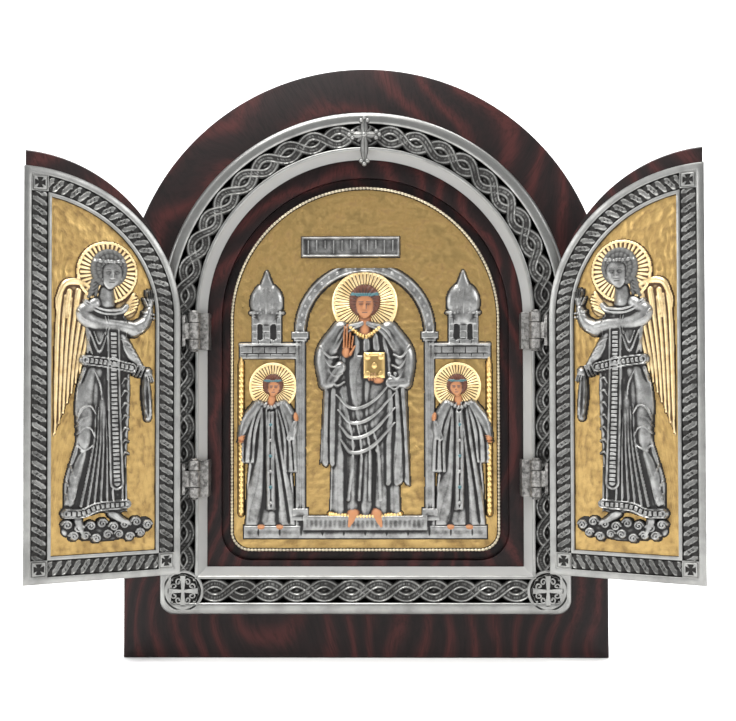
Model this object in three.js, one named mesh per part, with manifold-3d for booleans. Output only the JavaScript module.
// Triptych altarpiece: a round-headed board with a cast frame, a relief icon and two hinged wings.
// Millimetres. The pieces are drawn in face coordinates: x to the right, y up, z out to the viewer.
// The last group turns them so that the front looks along -Y and the board stands on Z = 0.

import * as THREE from 'three';
import { mergeVertices } from 'three/addons/utils/BufferGeometryUtils.js';
import Module from 'manifold-3d';

const wasm = await Module();
wasm.setup();

// Board
const boardWidth = 205;
const boardHeight = 250;
const boardDepth = 30;
const boardEasing = 1;

// Cast frame on the board's face
const frameSideMargin = 16.5;
const frameBottomMargin = 19.4;
const frameArchDrop = 3.5;
const frameBand = 19.2;
const frameRise = 7.2;
const frameShoulder = 1.4;
const frameCornerRadius = 6;
const outerRimWidth = 4.9;
const channelWidth = 9.9;
const channelDepth = 1.9;
const bevelWidth = 3.2;
const bevelFoot = 0.9;

// Braid in the frame's channel and rope in the wings' borders
const braid = { pitch: 11, sway: 3.1, halfWidth: 1.6, steps: 2, reach: 1.15 };
const braidRise = 1.6;
const rope = { pitch: 7.4, sway: 1.8, halfWidth: 1.1, steps: 1, reach: 0.96 };
const ropeRise = 0.9;

// Medallions at the frame's lower corners
const medallionRadius = 8.6;
const medallionRing = 1.1;
const medallionSinking = 1.3;
const medallionBar = 1.5;

// Cross on the crown of the frame
const crossTopArm = 8.4;
const crossFootArm = 13.4;
const crossSideArm = 7.4;
const crossThickness = 1.1;
const crossRidge = 0.7;
const crossArmWidth = 3.2;
const crossBeadRadius = 1.15;

// Icon: groove in the board, rim, gilt ground and relief
const iconSideMargin = 9.8;
const iconBottomMargin = 6.4;
const iconArchDrop = 1.7;
const iconCornerRadius = 8.5;
const iconRimWidth = 1.3;
const iconRimRise = 1.6;
const grooveGap = 0.5;
const grooveWidth = 3.4;
const grooveDepth = 3;
const groundThickness = 0.6;
const reliefRise = 4;
const plaqueGap = 1.85;
const plaqueHeight = 8.6;
const nimbusRise = 1;
const nimbusRays = 12;

// Wings
const wingGap = 0.6;
const wingSwing = 29.5;
const wingBottomGap = 1.5;
const wingArchDrop = 1.3;
const wingPanelDepth = 5;
const wingBorderDepth = 1.7;
const wingSideLip = 0.4;
const wingTopLip = 6.4;
const wingOuterRim = 2.8;
const wingChannelWidth = 6.4;
const wingInnerRim = 1.5;
const wingChannelDepth = 1;
const wingBlockSide = 7;
const angelFootGap = 9.9;
const angelRise = 3.2;
const gildingRise = 1.1;

// Hinges
const hingeAxisOut = 0.8;
const hingeAxisRise = 11.4;
const hingeReach = 5.5;
const lowerHingeRise = 39.4;
const upperHingeDrop = 5;
const hingeLength = 15.2;
const hingeKnuckleLength = 6.6;
const hingeKnuckleRadius = 2.4;
const hingePinRadius = 0.95;
const hingePinClearance = 0.08;
const hingePlate = 1.2;
const hingeFlangeDepth = 4.6;
const pinHeadRadius = 1.7;
const pinHeadHeight = 0.8;

// Gap that touching pieces keep
const seat = 0.3;

// How finely round stretches are drawn
const archSteps = 20;
const cornerSteps = 3;
const wingArcSteps = 8;
const barrelSides = 8;
const pinSides = 6;
const medallionSides = 14;
const cutOverrun = 2;
const finestEdge = 0.05;
const finestHeight = 0.012;
const sliverPasses = 30;

// Sizes and places that follow from the driving ones
const boardHalf = boardWidth / 2;
const boardArchHeight = boardHeight - boardHalf;
const frameHalf = boardHalf - frameSideMargin;
const frameArchHeight = boardArchHeight - frameArchDrop;
const openingHalf = frameHalf - frameBand;
const openingBottom = frameBottomMargin + frameBand;
const mouthInset = frameBand - bevelWidth;
const channelCentre = outerRimWidth + channelWidth / 2;
const channelFloor = frameRise - channelDepth;
const medallionX = frameHalf - channelCentre;
const medallionY = frameBottomMargin + channelCentre;
const iconHalf = openingHalf - iconSideMargin;
const iconBottom = openingBottom + iconBottomMargin;
const iconArchHeight = frameArchHeight - iconArchDrop;
const groundTop = seat + groundThickness;
const reliefFoot = groundTop + seat;
const hingeX = frameHalf - mouthInset + hingeAxisOut;
const wingNear = hingeReach;
const wingFar = hingeX - wingGap / 2;
const wingWidth = wingFar - wingNear;
const wingBottom = frameBottomMargin + mouthInset + wingBottomGap;
const wingArchHeight = frameArchHeight - wingArchDrop;
const lowerHingeY = wingBottom + lowerHingeRise;
const hingeHeights = { lower: lowerHingeY, upper: wingArchHeight - upperHingeDrop };

// Materials
const wood = new THREE.MeshStandardMaterial({ color: 0x46201f, roughness: 0.5, metalness: 0 });
const silver = new THREE.MeshStandardMaterial({ color: 0xa9a9a6, roughness: 0.35, metalness: 0.9 });
const gilt = new THREE.MeshStandardMaterial({ color: 0xe6c27a, roughness: 0.3, metalness: 0.9 });
const gold = new THREE.MeshStandardMaterial({ color: 0xb8924e, roughness: 0.6, metalness: 0.7 });
for (const material of [wood, silver, gilt, gold]) {
  material.flatShading = true;
}

// Turns a closed geometry into a solid that can be joined and cut
function solidOf(geometry) {
  geometry.deleteAttribute('normal');
  geometry.deleteAttribute('uv');
  const merged = mergeVertices(geometry, 1e-4);
  return new wasm.Manifold(new wasm.Mesh({
    numProp: 3,
    vertProperties: merged.attributes.position.array,
    triVerts: new Uint32Array(merged.index.array),
  }));
}

function join(solids) {
  return solids.reduce((whole, piece) => whole.add(piece));
}

// Splits a flat ring of points into triangles that run the same way round as the ring
function capOf(ring) {
  const normal = new THREE.Vector3();
  ring.forEach((point, i) => {
    normal.add(new THREE.Vector3().crossVectors(point, ring[(i + 1) % ring.length]));
  });
  const size = [Math.abs(normal.x), Math.abs(normal.y), Math.abs(normal.z)];
  const dropped = size.indexOf(Math.max(...size));
  const flat = ring.map((point) => {
    const values = point.toArray();
    values.splice(dropped, 1);
    return new THREE.Vector2(...values);
  });
  const ringTurn = Math.sign(THREE.ShapeUtils.area(flat));
  return THREE.ShapeUtils.triangulateShape(flat, []).map((face) => {
    const faceTurn = Math.sign(THREE.ShapeUtils.area(face.map((i) => flat[i])));
    return faceTurn === ringTurn ? face : [face[0], face[2], face[1]];
  });
}

// Closed body through rings of equal point counts, faces out whichever way the rings run
function loft(rings) {
  const count = rings[0].length;
  const triangles = [];
  for (let row = 0; row + 1 < rings.length; row += 1) {
    for (let i = 0; i < count; i += 1) {
      const a = row * count + i;
      const b = row * count + (i + 1) % count;
      triangles.push([a, b, b + count], [a, b + count, a + count]);
    }
  }
  const last = (rings.length - 1) * count;
  for (const [a, b, c] of capOf(rings[0])) {
    triangles.push([a, c, b]);
  }
  for (const [a, b, c] of capOf(rings[rings.length - 1])) {
    triangles.push([last + a, last + b, last + c]);
  }
  const points = rings.flat();
  const volume = triangles.reduce((sum, [a, b, c]) => (
    sum + points[a].dot(new THREE.Vector3().crossVectors(points[b], points[c]))
  ), 0);
  const index = triangles.flatMap(([a, b, c]) => (volume > 0 ? [a, b, c] : [a, c, b]));
  const geometry = new THREE.BufferGeometry().setFromPoints(points);
  geometry.setIndex(index);
  return solidOf(geometry);
}

// Level outlines stacked along z
function stack(layers) {
  return loft(layers.map(({ outline, z }) => outline.map((p) => new THREE.Vector3(p.x, p.y, z))));
}

function plate(outline, from, to) {
  return stack([{ outline, z: from }, { outline, z: to }]);
}

function rectangle(left, right, bottom, top) {
  return [[left, bottom], [right, bottom], [right, top], [left, top]]
    .map(([x, y]) => new THREE.Vector2(x, y));
}

function block(left, right, bottom, top, from, to) {
  return plate(rectangle(left, right, bottom, top), from, to);
}

function circle(x, y, radius, sides) {
  return Array.from({ length: sides }, (_, i) => {
    const angle = (i / sides) * Math.PI * 2;
    return new THREE.Vector2(x + radius * Math.cos(angle), y + radius * Math.sin(angle));
  });
}

function disc(x, y, radius, sides, from, to) {
  return plate(circle(x, y, radius, sides), from, to);
}

// Cross with four equal arms
function crossPlate(x, y, halfBar, reach, from, to) {
  const outline = [0, 1, 2, 3].flatMap((quarter) => {
    const angle = quarter * (Math.PI / 2);
    return [[halfBar, -halfBar], [reach, -halfBar], [reach, halfBar]].map(([along, across]) => (
      new THREE.Vector2(along, across).rotateAround(new THREE.Vector2(), angle).add(new THREE.Vector2(x, y))
    ));
  });
  return plate(outline, from, to);
}

// Round-headed outline, counter-clockwise from its lower left corner
function archOutline(half, bottom, archHeight, cornerRadius = 0) {
  const points = [new THREE.Vector2(-half + cornerRadius, bottom)];
  points.push(new THREE.Vector2(half - cornerRadius, bottom));
  const steps = cornerRadius > 0 ? cornerSteps : 0;
  for (let i = 1; i <= steps; i += 1) {
    const angle = -Math.PI / 2 + (i / steps) * (Math.PI / 2);
    points.push(new THREE.Vector2(
      half - cornerRadius + cornerRadius * Math.cos(angle),
      bottom + cornerRadius + cornerRadius * Math.sin(angle),
    ));
  }
  for (let i = 0; i <= archSteps; i += 1) {
    const angle = (i / archSteps) * Math.PI;
    points.push(new THREE.Vector2(half * Math.cos(angle), archHeight + half * Math.sin(angle)));
  }
  for (let i = 0; i < steps; i += 1) {
    const angle = Math.PI + (i / steps) * (Math.PI / 2);
    points.push(new THREE.Vector2(
      -half + cornerRadius + cornerRadius * Math.cos(angle),
      bottom + cornerRadius + cornerRadius * Math.sin(angle),
    ));
  }
  return points;
}

// The frame's outline moved inwards
function frameOutline(inset, cornerRadius = 0) {
  return archOutline(frameHalf - inset, frameBottomMargin + inset, frameArchHeight, cornerRadius);
}

function iconOutline(inset) {
  return archOutline(iconHalf - inset, iconBottom + inset, iconArchHeight, iconCornerRadius - inset);
}

// Raised bar of triangular section along a flat path
function ridge(place, steps, halfWidth, foot, crest) {
  const reach = 1e-3;
  const rings = [];
  for (let i = 0; i <= steps; i += 1) {
    const t = i / steps;
    const here = place(t);
    const along = place(t + reach).sub(place(t - reach)).normalize();
    const across = new THREE.Vector2(-along.y, along.x).multiplyScalar(halfWidth);
    rings.push([
      new THREE.Vector3(here.x - across.x, here.y - across.y, foot),
      new THREE.Vector3(here.x, here.y, crest),
      new THREE.Vector3(here.x + across.x, here.y + across.y, foot),
    ]);
  }
  return loft(rings);
}

function arcRidge(x, y, radius, from, to, steps, halfWidth, foot, crest) {
  const place = (t) => {
    const angle = from + t * (to - from);
    return new THREE.Vector2(x + radius * Math.cos(angle), y + radius * Math.sin(angle));
  };
  return ridge(place, steps, halfWidth, foot, crest);
}

// Interlaced band: where two strands cross, the upper one shows as a slanted link from side to side
function interlace(path, { pitch, sway, halfWidth, steps, reach }, foot, crest) {
  const length = path.getLength();
  const count = Math.round(length / pitch);
  const offsetPoint = (t, offset) => {
    const here = path.getPoint(t);
    const along = path.getPoint(Math.min(t + 1e-3, 1)).sub(path.getPoint(Math.max(t - 1e-3, 0)));
    along.normalize();
    return here.add(new THREE.Vector2(-along.y, along.x).multiplyScalar(offset));
  };
  return Array.from({ length: count }, (_, k) => {
    const place = (t) => {
      const turn = (2 * t - 1) * reach;
      const along = (k + 0.5 + turn / 2) / count;
      return offsetPoint(Math.min(Math.max(along, 0), 1), sway * Math.sin(turn * (Math.PI / 2)));
    };
    return ridge(place, steps, halfWidth, foot, crest);
  });
}

// Rounded form lying on the ground; its spine lists x, y, half width and height
function roll(spine, foot, steps = 3, facets = 2) {
  const middle = new THREE.CatmullRomCurve3(spine.map(([x, y]) => new THREE.Vector3(x, y, 0)));
  const size = new THREE.CatmullRomCurve3(spine.map(([, , w, h]) => new THREE.Vector3(w, h, 0)));
  const rings = [];
  for (let i = 0; i <= steps; i += 1) {
    const t = i / steps;
    const here = middle.getPoint(t);
    const along = middle.getTangent(t);
    const { x: halfWidth, y: height } = size.getPoint(t);
    rings.push(Array.from({ length: facets + 1 }, (_, k) => {
      const angle = (k / facets) * Math.PI;
      const offset = halfWidth * Math.cos(angle);
      return new THREE.Vector3(
        here.x - along.y * offset,
        here.y + along.x * offset,
        foot + height * Math.sin(angle),
      );
    }));
  }
  return loft(rings);
}

// Falling cloth with upright folds; its rows list y, left x, right x and height
function cloth(rows, foot, folds, foldDepth) {
  const columns = folds * 2;
  return loft(rows.map(([y, left, right, height]) => {
    const ring = [new THREE.Vector3(left, y, foot)];
    for (let k = 0; k <= columns; k += 1) {
      const share = k / columns;
      const bulge = Math.sqrt(1 - 0.55 * (2 * share - 1) ** 2);
      const fold = k % 2 === 0 ? 1 - foldDepth : 1;
      ring.push(new THREE.Vector3(
        left + (right - left) * (0.03 + 0.94 * share),
        y,
        foot + height * bulge * fold,
      ));
    }
    ring.push(new THREE.Vector3(right, y, foot));
    return ring;
  }));
}

// Rayed nimbus: a thin disc whose face rises and falls from ray to ray
function nimbus(x, y, radius, foot, rise, rays) {
  const sides = rays * 2;
  const rim = circle(x, y, radius, sides);
  const rimAt = (z) => rim.map((p, i) => new THREE.Vector3(p.x, p.y, i % 2 === 0 ? z : z - rise * 0.4));
  const inner = circle(x, y, radius * 0.35, sides);
  return loft([
    rim.map((p) => new THREE.Vector3(p.x, p.y, foot)),
    rimAt(foot + rise),
    inner.map((p) => new THREE.Vector3(p.x, p.y, foot + rise * 0.8)),
  ]);
}

// A figure's own drawing places, as shares of its breadth and of its height
function figure(centreX, footY, breadth, height, facing) {
  const x = (share) => centreX + facing * share * breadth;
  const y = (share) => footY + share * height;
  return {
    x,
    y,
    roll: (spine, foot, rise, steps, facets) => roll(
      spine.map(([sx, sy, sw, sh]) => [x(sx), y(sy), sw * breadth, sh * rise]),
      foot,
      steps,
      facets,
    ),
    cloth: (rows, foot, rise, folds, foldDepth) => cloth(
      rows.map(([sy, sl, sr, sh]) => [y(sy), x(sl), x(sr), sh * rise]),
      foot,
      folds,
      foldDepth,
    ),
  };
}

function headAndHair(body, foot, rise, headX, headY) {
  const crown = [
    [headX, headY + 0.075, 0.02, 0.55],
    [headX, headY + 0.045, 0.05, 0.85],
    [headX, headY, 0.056, 0.8],
    [headX, headY - 0.045, 0.045, 0.6],
  ];
  const face = [
    [headX, headY + 0.04, 0.026, 0.9],
    [headX, headY, 0.04, 1],
    [headX, headY - 0.045, 0.03, 0.92],
    [headX, headY - 0.065, 0.014, 0.75],
  ];
  const neck = [
    [headX, headY - 0.04, 0.026, 0.6],
    [headX * 0.5, headY - 0.12, 0.032, 0.6],
  ];
  return [
    body.roll(crown, foot, rise, 3, 4),
    body.roll(face, foot, rise, 3, 2),
    body.roll(neck, foot, rise, 1, 2),
  ];
}

// Board
function boardSolid() {
  const outline = (inset) => archOutline(boardHalf - inset, inset, boardArchHeight);
  const body = stack([
    { outline: outline(boardEasing), z: -boardDepth },
    { outline: outline(0), z: -boardDepth + boardEasing },
    { outline: outline(0), z: -boardEasing },
    { outline: outline(boardEasing), z: 0 },
  ]);
  const grooveOuter = plate(iconOutline(-grooveGap - grooveWidth), -grooveDepth, cutOverrun);
  const grooveInner = plate(iconOutline(-grooveGap), -grooveDepth - cutOverrun, cutOverrun * 2);
  return body.subtract(grooveOuter.subtract(grooveInner));
}

// Medallion: ring, cross and a curl in each quarter
function withMedallion(frame, x, y) {
  const sunk = medallionRadius - medallionRing;
  const floor = frameRise - medallionSinking;
  const arms = crossPlate(x, y, medallionBar / 2, sunk + medallionRing / 2, floor, frameRise - seat);
  const curls = [[1, 1], [-1, 1], [-1, -1], [1, -1]].map(([sx, sy]) => {
    const start = Math.atan2(sy, sx) + Math.PI * 1.15;
    return arcRidge(
      x + sx * sunk * 0.42,
      y + sy * sunk * 0.42,
      sunk * 0.24,
      start,
      start + Math.PI * 1.6,
      3,
      0.6,
      floor,
      frameRise - 0.2,
    );
  });
  const round = disc(x, y, medallionRadius, medallionSides, seat, frameRise);
  const field = disc(x, y, sunk, medallionSides, floor, frameRise + cutOverrun);
  return join([frame.add(round).subtract(field), arms, ...curls]);
}

// Cast frame
function frameSolid() {
  const body = stack([
    { outline: frameOutline(0, frameCornerRadius), z: seat },
    { outline: frameOutline(0, frameCornerRadius), z: frameRise - frameShoulder },
    { outline: frameOutline(frameShoulder, frameCornerRadius - frameShoulder), z: frameRise },
  ]);
  const mouth = stack([
    { outline: frameOutline(frameBand), z: -cutOverrun },
    { outline: frameOutline(frameBand), z: bevelFoot },
    { outline: frameOutline(mouthInset), z: frameRise },
    { outline: frameOutline(mouthInset), z: frameRise + cutOverrun },
  ]);
  const channelOuter = plate(frameOutline(outerRimWidth), channelFloor, frameRise + cutOverrun);
  const channelInner = plate(frameOutline(outerRimWidth + channelWidth), channelFloor - cutOverrun, frameRise + cutOverrun * 2);
  const clear = medallionRadius - medallionRing;
  const archPath = new THREE.Path();
  archPath.moveTo(-medallionX, medallionY + clear);
  archPath.lineTo(-medallionX, frameArchHeight);
  archPath.absarc(0, frameArchHeight, medallionX, Math.PI, 0, true);
  archPath.lineTo(medallionX, medallionY + clear);
  const footPath = new THREE.Path();
  footPath.moveTo(-medallionX + clear, medallionY);
  footPath.lineTo(medallionX - clear, medallionY);
  const channelled = body.subtract(mouth).subtract(channelOuter.subtract(channelInner));
  const links = [archPath, footPath].flatMap((path) => (
    interlace(path, braid, channelFloor, channelFloor + braidRise)
  ));
  const braided = join([channelled, ...links]);
  return [-1, 1].reduce((whole, side) => withMedallion(whole, side * medallionX, medallionY), braided);
}

// Cross with leaf-shaped arms and three beads at each end, on the crown of the frame
function crossSolid() {
  const centreY = frameArchHeight + medallionX;
  const foot = frameRise + seat;
  const lengths = [crossSideArm, crossTopArm, crossSideArm, crossFootArm];
  const waist = crossArmWidth * 0.28;
  const outline = [];
  const ridges = [];
  lengths.forEach((length, k) => {
    const angle = k * (Math.PI / 2);
    const place = (along, across) => new THREE.Vector2(
      along * Math.cos(angle) - across * Math.sin(angle),
      centreY + along * Math.sin(angle) + across * Math.cos(angle),
    );
    const bud = length - crossBeadRadius * 2;
    const half = [
      [waist, waist],
      [bud * 0.55, crossArmWidth / 2],
      [bud, waist],
      [bud + crossBeadRadius * 0.2, crossBeadRadius * 1.9],
      [bud + crossBeadRadius * 1.1, crossBeadRadius * 0.9],
      [length, crossBeadRadius * 0.5],
    ];
    outline.push(...half.slice(1).map(([along, across]) => place(along, -across)));
    outline.push(...half.slice(1).reverse().map(([along, across]) => place(along, across)));
    outline.push(place(waist, waist));
    const [start, middle, end] = [place(0, 0), place(bud * 0.55, 0), place(bud, 0)];
    ridges.push(roll([
      [start.x, start.y, waist * 0.8, crossRidge],
      [middle.x, middle.y, waist * 1.2, crossRidge],
      [end.x, end.y, waist * 0.5, crossRidge * 0.6],
    ], foot + crossThickness, 2, 2));
  });
  return join([plate(outline, foot, foot + crossThickness), ...ridges]);
}

// Icon rim and gilt ground
function iconRimSolid() {
  const middle = iconRimWidth / 2;
  const body = stack([
    { outline: iconOutline(0), z: seat },
    { outline: iconOutline(0), z: seat + iconRimRise * 0.6 },
    { outline: iconOutline(middle), z: seat + iconRimRise },
  ]);
  const inside = stack([
    { outline: iconOutline(iconRimWidth), z: seat - cutOverrun },
    { outline: iconOutline(iconRimWidth), z: seat + iconRimRise * 0.6 },
    { outline: iconOutline(middle), z: seat + iconRimRise },
    { outline: iconOutline(middle), z: seat + iconRimRise + cutOverrun },
  ]);
  return body.subtract(inside);
}

function iconGroundSolid() {
  return plate(iconOutline(iconRimWidth + seat), seat, groundTop);
}

// Places in the icon, as shares of its half width and of its height
const iconTop = iconArchHeight + iconHalf;
const iconX = (share) => share * iconHalf;
const iconY = (share) => iconBottom + share * (iconTop - iconBottom);

const saintBreadth = iconHalf * 1.76;
const saintHeight = (iconTop - iconBottom) * 0.65;
const saint = figure(0, iconY(0.083), saintBreadth, saintHeight, 1);
const saintNimbus = { x: 0, y: saint.y(0.915), radius: Math.min(saintBreadth, saintHeight) * 0.14 };
const helperBreadth = iconHalf * 1.15;
const helperHeight = (iconTop - iconBottom) * 0.425;
const helperX = iconX(0.7);
const helperNimbusRadius = Math.min(helperBreadth, helperHeight) * 0.155;

// Standing robed figure with a book, one hand raised
function saintPieces() {
  const foot = reliefFoot;
  const rise = reliefRise;
  const body = saint;
  const pieces = [
    body.cloth([
      [0.02, -0.15, 0.15, 0.5],
      [0.34, -0.14, 0.14, 0.6],
      [0.68, -0.125, 0.125, 0.72],
      [0.82, -0.1, 0.1, 0.62],
    ], foot, rise, 4, 0.3),
    body.cloth([
      [0.16, 0.08, 0.19, 0.62],
      [0.63, 0.072, 0.175, 0.78],
    ], foot, rise, 2, 0.3),
    body.cloth([
      [0.24, -0.19, -0.11, 0.5],
      [0.64, -0.17, -0.1, 0.66],
    ], foot, rise, 1, 0.3),
    body.roll([
      [-0.1, 0.8, 0.045, 0.7],
      [-0.16, 0.7, 0.05, 0.8],
      [-0.158, 0.585, 0.04, 0.85],
    ], foot, rise, 2, 3),
    body.roll([
      [-0.145, 0.585, 0.034, 0.88],
      [-0.105, 0.645, 0.034, 0.96],
      [-0.076, 0.72, 0.026, 1],
    ], foot, rise, 2, 3),
    body.roll([
      [-0.078, 0.69, 0.02, 0.97],
      [-0.068, 0.76, 0.022, 0.98],
      [-0.062, 0.81, 0.009, 0.88],
    ], foot, rise, 1, 2),
    body.roll([
      [0.1, 0.8, 0.045, 0.7],
      [0.162, 0.7, 0.05, 0.82],
      [0.16, 0.59, 0.042, 0.86],
    ], foot, rise, 2, 3),
    body.roll([
      [0.165, 0.585, 0.036, 0.88],
      [0.11, 0.582, 0.036, 0.96],
      [0.05, 0.6, 0.028, 1],
    ], foot, rise, 2, 3),
    block(body.x(-0.005), body.x(0.085), body.y(0.6), body.y(0.71), foot, foot + rise),
  ];
  const mantleFolds = 3;
  for (let k = 0; k < mantleFolds; k += 1) {
    const drop = k * 0.1;
    pieces.push(body.roll([
      [-0.11 + k * 0.012, 0.56 - drop, 0.014, 0.72],
      [0, 0.47 - drop, 0.02, 0.9],
      [0.12, 0.52 - drop, 0.014, 0.9],
    ], foot, rise, 3, 2));
  }
  for (const side of [-1, 1]) {
    pieces.push(body.roll([
      [side * 0.05, 0.03, 0.028, 0.7],
      [side * 0.065, -0.02, 0.02, 0.6],
    ], foot, rise, 1, 2));
    pieces.push(body.roll([
      [side * 0.02, 0.83, 0.02, 0.82],
      [side * 0.1, 0.79, 0.028, 0.82],
      [side * 0.13, 0.72, 0.02, 0.8],
    ], foot, rise, 2, 2));
  }
  return [...pieces, ...headAndHair(body, foot, rise, 0, 0.915)];
}

// Attendant with a tall candle, turned towards the middle
function helperPieces(side) {
  const foot = reliefFoot;
  const rise = reliefRise * 0.9;
  const body = figure(side * helperX, iconY(0.062), helperBreadth, helperHeight, -side);
  return [
    body.cloth([
      [0.02, -0.165, 0.16, 0.5],
      [0.35, -0.15, 0.14, 0.62],
      [0.6, -0.12, 0.11, 0.7],
      [0.82, -0.09, 0.085, 0.62],
    ], foot, rise, 4, 0.3),
    block(
      Math.min(body.x(-0.022), body.x(0.032)),
      Math.max(body.x(-0.022), body.x(0.032)),
      body.y(0.12),
      body.y(0.76),
      foot,
      foot + rise * 0.85,
    ),
    body.roll([
      [-0.08, 0.79, 0.045, 0.7],
      [-0.15, 0.69, 0.05, 0.8],
      [-0.188, 0.6, 0.028, 0.88],
    ], foot, rise, 2, 2),
    body.roll([
      [0.08, 0.79, 0.045, 0.7],
      [0.135, 0.68, 0.05, 0.8],
      [0.138, 0.59, 0.036, 0.85],
    ], foot, rise, 2, 2),
    body.roll([
      [0.124, 0.585, 0.032, 0.9],
      [0.157, 0.68, 0.024, 0.96],
      [0.166, 0.76, 0.01, 0.82],
    ], foot, rise, 2, 2),
    body.roll([
      [-0.19, 0.1, 0.02, 0.62],
      [-0.19, 1.02, 0.02, 0.62],
    ], foot, rise, 1, 2),
    body.roll([
      [-0.19, 1.01, 0.014, 0.5],
      [-0.19, 1.06, 0.02, 0.55],
      [-0.19, 1.12, 0.004, 0.3],
    ], foot, rise, 2, 2),
    ...headAndHair(body, foot, rise, 0.015, 0.915),
  ];
}

// Canopy on columns with a domed tower on each side
const canopyReach = iconX(0.48);
const canopyBand = iconX(0.045);
const canopySpring = iconY(0.6);

function buildingPieces() {
  const foot = reliefFoot;
  const column = canopyReach;
  const halfColumn = iconX(0.035);
  const spring = canopySpring;
  const low = foot + reliefRise * 0.3;
  const high = foot + reliefRise * 0.45;
  const pieces = [
    arcRidge(0, spring, column, 0, Math.PI, 10, canopyBand, foot, high),
    block(iconX(-0.9), iconX(0.9), iconY(0.035), iconY(0.072), foot, foot + reliefRise * 0.4),
    block(iconX(-0.46), iconX(0.46), iconY(0.06), iconY(0.098), foot, foot + reliefRise * 0.55),
  ];
  for (const side of [-1, 1]) {
    const span = (near, far) => [Math.min(side * near, side * far), Math.max(side * near, side * far)];
    const tower = iconX(0.73);
    pieces.push(block(...span(column - halfColumn, column + halfColumn), iconY(0.065), spring, foot, low));
    pieces.push(block(...span(column - halfColumn * 1.8, column + halfColumn * 1.8), spring - iconY(0.018) + iconBottom, spring, foot, high));
    pieces.push(block(...span(column, iconX(0.93)), iconY(0.527), iconY(0.565), foot, low));
    pieces.push(block(...span(tower - iconX(0.11), tower + iconX(0.11)), iconY(0.555), iconY(0.655), foot, low));
    pieces.push(roll([
      [side * tower, iconY(0.65), iconX(0.1), reliefRise * 0.45],
      [side * tower, iconY(0.685), iconX(0.125), reliefRise * 0.6],
      [side * tower, iconY(0.72), iconX(0.06), reliefRise * 0.4],
      [side * tower, iconY(0.765), iconX(0.012), reliefRise * 0.2],
    ], foot, 3, 4));
  }
  return pieces;
}

function iconNimbuses(shape) {
  const helper = figure(helperX, iconY(0.062), helperBreadth, helperHeight, -1);
  return {
    halo_centre: shape(saintNimbus.x, saintNimbus.y, saintNimbus.radius),
    halo_left: shape(-helper.x(0.015), helper.y(0.915), helperNimbusRadius),
    halo_right: shape(helper.x(0.015), helper.y(0.915), helperNimbusRadius),
  };
}

function iconNimbus(x, y, radius) {
  return nimbus(x, y, radius, reliefFoot, nimbusRise, nimbusRays);
}

// Room for a nimbus in the underside of what lies over it
function iconNimbusRoom(x, y, radius) {
  const reach = (radius + seat) / Math.cos(Math.PI / nimbusRays);
  return disc(x, y, reach, nimbusRays, reliefFoot - cutOverrun, reliefFoot + nimbusRise + seat);
}

function iconReliefSolid() {
  const whole = join([...buildingPieces(), ...saintPieces(), ...helperPieces(-1), ...helperPieces(1)]);
  return Object.values(iconNimbuses(iconNimbusRoom)).reduce((rest, room) => rest.subtract(room), whole);
}

// Plaque with rows of plain strokes
function plaqueSolid() {
  const centreX = iconX(-0.105);
  const halfWidth = iconX(0.365);
  const bottom = canopySpring + canopyReach + canopyBand + plaqueGap;
  const top = bottom + plaqueHeight;
  const face = reliefFoot + 1;
  const body = block(centreX - halfWidth, centreX + halfWidth, bottom, top, reliefFoot, face);
  const strokes = 11;
  const bars = Array.from({ length: strokes }, (_, i) => {
    const middle = centreX + halfWidth * 0.86 * ((2 * i) / (strokes - 1) - 1);
    const short = (i % 3) * 0.12 * (top - bottom);
    return block(middle - 0.5, middle + 0.5, bottom + 1.8 + short, top - 1.8, face, face + 0.4);
  });
  return join([body, ...bars]);
}

// Wing outline inside its lips: upright sides, level foot and a quarter arch
function wingOutline(inset, topInset = inset) {
  const near = wingNear + inset;
  const far = wingFar - inset;
  const spanX = wingWidth - inset;
  const spanY = wingWidth - topInset;
  const last = Math.acos(inset / spanX);
  const points = [new THREE.Vector2(near, wingBottom + inset), new THREE.Vector2(far, wingBottom + inset)];
  for (let i = 0; i <= wingArcSteps; i += 1) {
    const angle = last * (1 - i / wingArcSteps);
    points.push(new THREE.Vector2(
      wingFar - spanX * Math.cos(angle),
      wingArchHeight + spanY * Math.sin(angle),
    ));
  }
  return points;
}

function borderOutline(inset) {
  return wingOutline(wingSideLip + inset, wingTopLip + inset);
}

const borderFace = 0;
const borderBack = -wingBorderDepth;
const panelFace = borderBack - seat;
const wingChannelFloor = borderFace - wingChannelDepth;
const wingGroundFace = panelFace + seat + groundThickness;
const angelFoot = wingGroundFace + seat;
const borderWidth = wingOuterRim + wingChannelWidth + wingInnerRim;

function wingPanelSolid() {
  return plate(wingOutline(0), panelFace - wingPanelDepth, panelFace);
}

// Square block with a small cross, where the border's runs meet
function cornerBlock(x, y) {
  const half = wingBlockSide / 2;
  const bar = half * 0.22;
  const arm = half * 0.68;
  const sunk = borderFace - 0.5;
  const body = block(x - half, x + half, y - half, y + half, wingChannelFloor, borderFace);
  return body.subtract(crossPlate(x, y, bar, arm, sunk, borderFace + cutOverrun));
}

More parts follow.
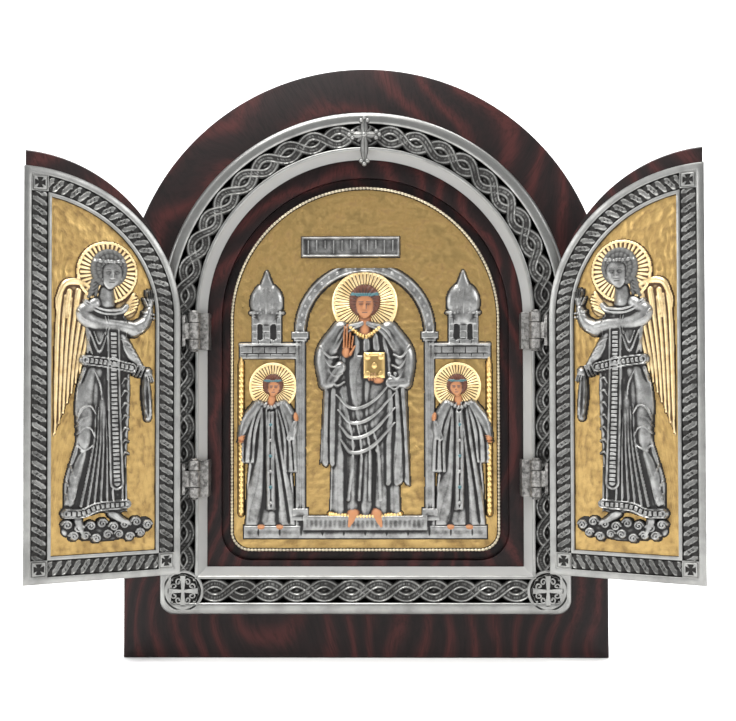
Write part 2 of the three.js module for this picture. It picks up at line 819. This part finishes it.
// Cast border with a rope between two rims
function wingBorderSolid() {
  const channelInset = wingOuterRim;
  const innerInset = wingOuterRim + wingChannelWidth;
  const body = plate(borderOutline(0), borderBack, borderFace)
    .subtract(plate(borderOutline(borderWidth), borderBack - cutOverrun, borderFace + cutOverrun));
  const channel = plate(borderOutline(channelInset), wingChannelFloor, borderFace + cutOverrun)
    .subtract(plate(borderOutline(innerInset), wingChannelFloor - cutOverrun, borderFace + cutOverrun * 2));
  const middle = wingSideLip + wingOuterRim + wingChannelWidth / 2;
  const topMiddle = wingTopLip + wingOuterRim + wingChannelWidth / 2;
  const near = wingNear + middle;
  const far = wingFar - middle;
  const foot = wingBottom + middle;
  const spanX = wingWidth - middle;
  const spanY = wingWidth - topMiddle;
  const blockReach = wingBlockSide / 2;
  const cornerAngle = Math.acos((middle + blockReach) / spanX);
  const topY = wingArchHeight + spanY * Math.sin(Math.acos(middle / spanX));
  const arcPath = new THREE.Path();
  arcPath.moveTo(near, foot + blockReach);
  arcPath.lineTo(near, wingArchHeight);
  arcPath.absellipse(wingFar, wingArchHeight, spanX, spanY, Math.PI, Math.PI - cornerAngle, true, 0);
  const farPath = new THREE.Path();
  farPath.moveTo(far, topY - blockReach);
  farPath.lineTo(far, foot + blockReach);
  const footPath = new THREE.Path();
  footPath.moveTo(far - blockReach, foot);
  footPath.lineTo(near + blockReach, foot);
  return join([
    body.subtract(channel),
    ...[arcPath, farPath, footPath].flatMap((path) => (
      interlace(path, rope, wingChannelFloor, wingChannelFloor + ropeRise)
    )),
    cornerBlock(near, foot),
    cornerBlock(far, foot),
    cornerBlock(far, topY),
  ]);
}

function wingGroundSolid() {
  return plate(borderOutline(borderWidth + seat), panelFace + seat, wingGroundFace);
}

// The angel fills the gilt field: its breadth from the field's width, its height from the arch over it
const fieldSide = wingSideLip + borderWidth;
const fieldWidth = wingWidth - fieldSide * 2;
const fieldSpan = wingWidth - wingTopLip - borderWidth;
const angelX = wingNear + fieldSide + fieldWidth * 0.4766;
const angelFootY = wingBottom + fieldSide + angelFootGap;
const angelTurn = Math.acos((wingFar - angelX) / (wingWidth - fieldSide));
const angelHeadroom = wingArchHeight + fieldSpan * Math.sin(angelTurn) - angelFootY;
const angelBreadth = fieldWidth * 2.57;
const angelHeight = angelHeadroom * 0.8994;
const angel = figure(angelX, angelFootY, angelBreadth, angelHeight, -1);
const nimbusReach = Math.min(angelBreadth, angelHeight) * 0.114;

// Outlines of the angel's two wings, as shares of the angel's breadth and height
const largeWing = [
  [-0.03, 0.74],
  [-0.03, 0.84],
  [-0.1, 0.905],
  [-0.165, 0.895],
  [-0.185, 0.82],
  [-0.195, 0.34],
  [-0.13, 0.5],
  [-0.085, 0.62],
];
const smallWing = [
  [0.03, 0.76],
  [0.1, 0.755],
  [0.122, 0.8],
  [0.1, 0.835],
  [0.03, 0.86],
];

function wingShape(shares, extra) {
  const outline = shares.map(([x, y]) => new THREE.Vector2(angel.x(x), angel.y(y)));
  const turn = Math.sign(THREE.ShapeUtils.area(outline));
  return outline.map((point, i) => {
    const before = outline[(i + outline.length - 1) % outline.length];
    const after = outline[(i + 1) % outline.length];
    const along = after.clone().sub(before).normalize();
    return new THREE.Vector2(point.x + along.y * extra * turn, point.y - along.x * extra * turn);
  });
}

// Gilt nimbus and feathered wings behind the angel
function gildingSolid() {
  const foot = angelFoot;
  const web = gildingRise * 0.45;
  const pieces = [
    nimbus(angel.x(0), angel.y(0.933), nimbusReach, foot, gildingRise, nimbusRays),
    plate(wingShape(largeWing, 0), foot, foot + web),
    plate(wingShape(smallWing, 0), foot, foot + web),
  ];
  const feathers = 4;
  for (let k = 0; k < feathers; k += 1) {
    const share = k / (feathers - 1);
    pieces.push(angel.roll([
      [-0.09 - 0.07 * share, 0.84 + 0.03 * share, 0.014, 1],
      [-0.11 - 0.08 * share, 0.6 - 0.06 * share, 0.012, 0.9],
      [-0.12 - 0.08 * share, 0.53 - 0.17 * share, 0.004, 0.7],
    ], foot, gildingRise, 2, 2));
  }
  return join(pieces);
}

// Room for the gilding in the underside of the angel
function gildingRoom() {
  const top = angelFoot + gildingRise + seat;
  const bottom = angelFoot - cutOverrun;
  return join([
    disc(angel.x(0), angel.y(0.933), (nimbusReach + seat) / Math.cos(Math.PI / nimbusRays), nimbusRays, bottom, top),
    plate(wingShape(largeWing, seat), bottom, top),
    plate(wingShape(smallWing, seat), bottom, top),
  ]);
}

// Angel in long robes standing on curled clouds, one hand raised towards the middle
function angelPieces() {
  const foot = angelFoot;
  const rise = angelRise;
  const body = angel;
  const pieces = [
    body.cloth([
      [0.055, -0.155, 0.08, 0.6],
      [0.2, -0.15, 0.078, 0.66],
      [0.4, -0.118, 0.085, 0.74],
      [0.62, -0.072, 0.078, 0.78],
      [0.72, -0.078, 0.08, 0.84],
      [0.83, -0.07, 0.07, 0.7],
    ], foot, rise, 4, 0.32),
    body.roll([
      [-0.05, 0.815, 0.035, 0.8],
      [-0.08, 0.76, 0.042, 0.9],
      [0.02, 0.742, 0.036, 1],
      [0.115, 0.728, 0.03, 1],
      [0.155, 0.77, 0.022, 0.95],
      [0.162, 0.81, 0.014, 0.85],
    ], foot, rise, 5, 3),
    body.roll([
      [0.16, 0.8, 0.014, 0.85],
      [0.163, 0.83, 0.015, 0.85],
      [0.158, 0.862, 0.005, 0.6],
    ], foot, rise, 1, 2),
    body.roll([
      [0.05, 0.7, 0.03, 0.8],
      [0.095, 0.63, 0.034, 0.85],
      [0.14, 0.575, 0.022, 0.8],
      [0.165, 0.545, 0.01, 0.7],
    ], foot, rise, 2, 2),
    body.roll([
      [0.15, 0.57, 0.014, 0.6],
      [0.155, 0.5, 0.02, 0.6],
      [0.15, 0.41, 0.012, 0.45],
    ], foot, rise, 2, 2),
    body.roll([
      [-0.078, 0.598, 0.016, 0.95],
      [0.015, 0.612, 0.018, 1],
      [0.095, 0.645, 0.014, 0.95],
    ], foot, rise, 2, 2),
    body.roll([
      [0.03, 0.6, 0.024, 0.98],
      [0.036, 0.19, 0.026, 0.9],
    ], foot, rise, 1, 2),
    body.roll([
      [-0.158, 0.068, 0.016, 0.78],
      [-0.04, 0.058, 0.017, 0.85],
      [0.084, 0.082, 0.015, 0.75],
    ], foot, rise, 2, 2),
    body.roll([
      [-0.075, 0.8, 0.02, 0.92],
      [0, 0.778, 0.026, 1],
      [0.078, 0.81, 0.02, 0.9],
    ], foot, rise, 4, 2),
    body.roll([
      [-0.05, 0.05, 0.022, 0.6],
      [-0.06, 0.01, 0.008, 0.5],
    ], foot, rise, 1, 2),
    body.roll([
      [0.03, 0.06, 0.022, 0.6],
      [0.075, 0.02, 0.008, 0.5],
    ], foot, rise, 1, 2),
  ];
  pieces.push(body.roll([
    [-0.15, 0.012, 0.016, 0.24],
    [0, -0.016, 0.028, 0.3],
    [0.15, 0.02, 0.016, 0.24],
  ], foot, rise, 2, 2));
  const clouds = 5;
  for (let k = 0; k < clouds; k += 1) {
    const cloudX = -0.14 + 0.28 * (k / (clouds - 1));
    const cloudY = k % 2 === 0 ? 0.014 : -0.018;
    pieces.push(body.roll([
      [cloudX - 0.026, cloudY, 0.012, 0.3],
      [cloudX, cloudY, 0.028, 0.5],
      [cloudX + 0.026, cloudY, 0.012, 0.3],
    ], foot, rise, 2, 2));
  }
  return [...pieces, ...headAndHair(body, foot, rise, 0.004, 0.935)];
}

function angelSolid() {
  return join(angelPieces()).subtract(gildingRoom());
}

// Hinges: a clasp on the frame, a leaf on the wing and a pin through both
function upright(profile, from, to) {
  return loft([from, to].map((y) => profile.map(([x, z]) => new THREE.Vector3(x, y, z))));
}

function barrelProfile(x, z, radius, sides) {
  return circle(x, z, radius, sides).map((p) => [p.x, p.y]);
}

function slab(left, right, back, front, from, to) {
  return upright([[left, back], [right, back], [right, front], [left, front]], from, to);
}

const hingeBore = (hingePinRadius + hingePinClearance) / Math.cos(Math.PI / pinSides);

// Ear of the clasp: a leg with a round head about the pin
function earProfile(back) {
  const head = Array.from({ length: barrelSides / 2 + 1 }, (_, i) => {
    const angle = (i / (barrelSides / 2)) * Math.PI;
    const x = hingeX + hingeKnuckleRadius * Math.cos(angle);
    return [x, hingeAxisRise + hingeKnuckleRadius * Math.sin(angle)];
  });
  return [[hingeX - hingeKnuckleRadius, back], [hingeX + hingeKnuckleRadius, back], ...head];
}

function claspSolid(y) {
  const half = hingeLength / 2;
  const inner = openingHalf - seat;
  const plateBack = frameRise + seat;
  const plateFront = plateBack + hingePlate;
  const plateOuter = hingeX + hingeKnuckleRadius;
  const bent = [
    [inner - hingePlate, seat],
    [inner, seat],
    [inner, plateBack],
    [plateOuter, plateBack],
    [plateOuter, plateFront],
    [inner - hingePlate, plateFront],
  ];
  const ears = [-1, 1].map((side) => {
    const near = y + side * (hingeKnuckleLength / 2 + seat);
    const far = y + side * half;
    return upright(earProfile(plateBack), Math.min(near, far), Math.max(near, far));
  });
  const bore = barrelProfile(hingeX, hingeAxisRise, hingeBore, pinSides);
  return join([upright(bent, y - half, y + half), ...ears])
    .subtract(upright(bore, y - half - cutOverrun, y + half + cutOverrun));
}

function pinSolid(y) {
  const reach = hingeLength / 2 + seat;
  const end = reach + pinHeadHeight;
  const rings = [
    [-end, pinHeadRadius],
    [-reach, pinHeadRadius],
    [-reach, hingePinRadius],
    [reach, hingePinRadius],
    [reach, pinHeadRadius],
    [end, pinHeadRadius],
  ];
  return loft(rings.map(([along, radius]) => (
    barrelProfile(hingeX, hingeAxisRise, radius, pinSides).map(([x, z]) => new THREE.Vector3(x, y + along, z))
  )));
}

function leafSolid(y) {
  const half = hingeKnuckleLength / 2;
  const flangeHalf = hingeLength / 2 - hingePlate;
  const flangeEdge = wingNear - seat;
  const bore = barrelProfile(0, 0, hingeBore, pinSides);
  return join([
    upright(barrelProfile(0, 0, hingeKnuckleRadius, barrelSides), y - half, y + half),
    slab(0, flangeEdge, -hingePlate, 0, y - half, y + half),
    slab(flangeEdge - hingePlate, flangeEdge, -hingePlate - hingeFlangeDepth, 0, y - flangeHalf, y + flangeHalf),
  ]).subtract(upright(bore, y - half - cutOverrun, y + half + cutOverrun));
}

// Triangles left when short edges and slivers are drawn together; a few passes reach the last of them
function withoutSlivers(positions, triangles) {
  const point = (i) => new THREE.Vector3().fromArray(positions, i * 3);
  let kept = [...triangles];
  for (let pass = 0; pass < sliverPasses; pass += 1) {
    const around = new Map();
    for (let k = 0; k < kept.length; k += 3) {
      for (let i = 0; i < 3; i += 1) {
        const corner = kept[k + i];
        around.set(corner, around.get(corner) ?? new Set());
        around.get(corner).add(kept[k + (i + 1) % 3]).add(kept[k + (i + 2) % 3]);
      }
    }
    const moved = new Map();
    const settled = new Set();
    for (let k = 0; k < kept.length; k += 3) {
      const corners = [kept[k], kept[k + 1], kept[k + 2]];
      const edges = corners.map((a, i) => {
        const b = corners[(i + 1) % 3];
        return { a, b, length: point(a).distanceTo(point(b)) };
      }).sort((one, other) => one.length - other.length);
      const { a, b, length } = edges[0];
      const normal = point(corners[1]).sub(point(corners[0])).cross(point(corners[2]).sub(point(corners[0])));
      const thin = normal.length() / edges[2].length < finestHeight;
      const shared = [...around.get(a)].filter((c) => around.get(b).has(c));
      const free = [a, b, ...around.get(a), ...around.get(b)].every((c) => !settled.has(c));
      if ((length < finestEdge || thin) && shared.length === 2 && free) {
        moved.set(b, a);
        [a, b, ...around.get(a), ...around.get(b)].forEach((c) => settled.add(c));
      }
    }
    if (moved.size === 0) {
      break;
    }
    const next = [];
    for (let k = 0; k < kept.length; k += 3) {
      const [a, b, c] = [kept[k], kept[k + 1], kept[k + 2]].map((corner) => moved.get(corner) ?? corner);
      if (a !== b && b !== c && c !== a) {
        next.push(a, b, c);
      }
    }
    kept = next;
  }
  return kept;
}

// Turns a solid back into a named mesh, mirrored to the left where side is -1
function meshOf(name, body, material, side = 1) {
  const { vertProperties, triVerts } = body.getMesh();
  const triangles = withoutSlivers(vertProperties, triVerts);
  const geometry = new THREE.BufferGeometry();
  geometry.setAttribute('position', new THREE.BufferAttribute(new Float32Array(vertProperties), 3));
  geometry.setIndex(new THREE.BufferAttribute(new Uint32Array(triangles), 1));
  if (side < 0) {
    geometry.scale(-1, 1, 1);
    const index = geometry.index.array;
    for (let i = 0; i < index.length; i += 3) {
      [index[i + 1], index[i + 2]] = [index[i + 2], index[i + 1]];
    }
  }
  geometry.computeVertexNormals();
  const mesh = new THREE.Mesh(geometry, material);
  mesh.name = name;
  return mesh;
}

const face = new THREE.Group();
face.rotation.x = Math.PI / 2;
face.position.y = -boardDepth / 2;
face.add(meshOf('board', boardSolid(), wood));
face.add(meshOf('frame', frameSolid(), silver));
face.add(meshOf('crown_cross', crossSolid(), silver));
face.add(meshOf('icon_rim', iconRimSolid(), silver));
face.add(meshOf('icon_ground', iconGroundSolid(), gold));
face.add(meshOf('icon_relief', iconReliefSolid(), silver));
face.add(meshOf('title_plaque', plaqueSolid(), silver));
for (const [name, halo] of Object.entries(iconNimbuses(iconNimbus))) {
  face.add(meshOf(name, halo, gilt));
}

const panel = wingPanelSolid();
const border = wingBorderSolid();
const ground = wingGroundSolid();
const gilding = gildingSolid();
const angelBody = angelSolid();
for (const [hand, side] of [['left', -1], ['right', 1]]) {
  const wing = new THREE.Group();
  wing.position.set(side * hingeX, 0, hingeAxisRise);
  wing.rotation.y = -side * THREE.MathUtils.degToRad(wingSwing);
  wing.add(meshOf(`wing_panel_${hand}`, panel, wood, side));
  wing.add(meshOf(`wing_border_${hand}`, border, silver, side));
  wing.add(meshOf(`wing_ground_${hand}`, ground, gold, side));
  wing.add(meshOf(`wing_gilding_${hand}`, gilding, gilt, side));
  wing.add(meshOf(`wing_angel_${hand}`, angelBody, silver, side));
  for (const [level, y] of Object.entries(hingeHeights)) {
    wing.add(meshOf(`hinge_leaf_${hand}_${level}`, leafSolid(y), silver, side));
    face.add(meshOf(`hinge_clasp_${hand}_${level}`, claspSolid(y), silver, side));
    face.add(meshOf(`hinge_pin_${hand}_${level}`, pinSolid(y), silver, side));
  }
  face.add(wing);
}

const triptych = new THREE.Group();
triptych.add(face);

export default triptych;
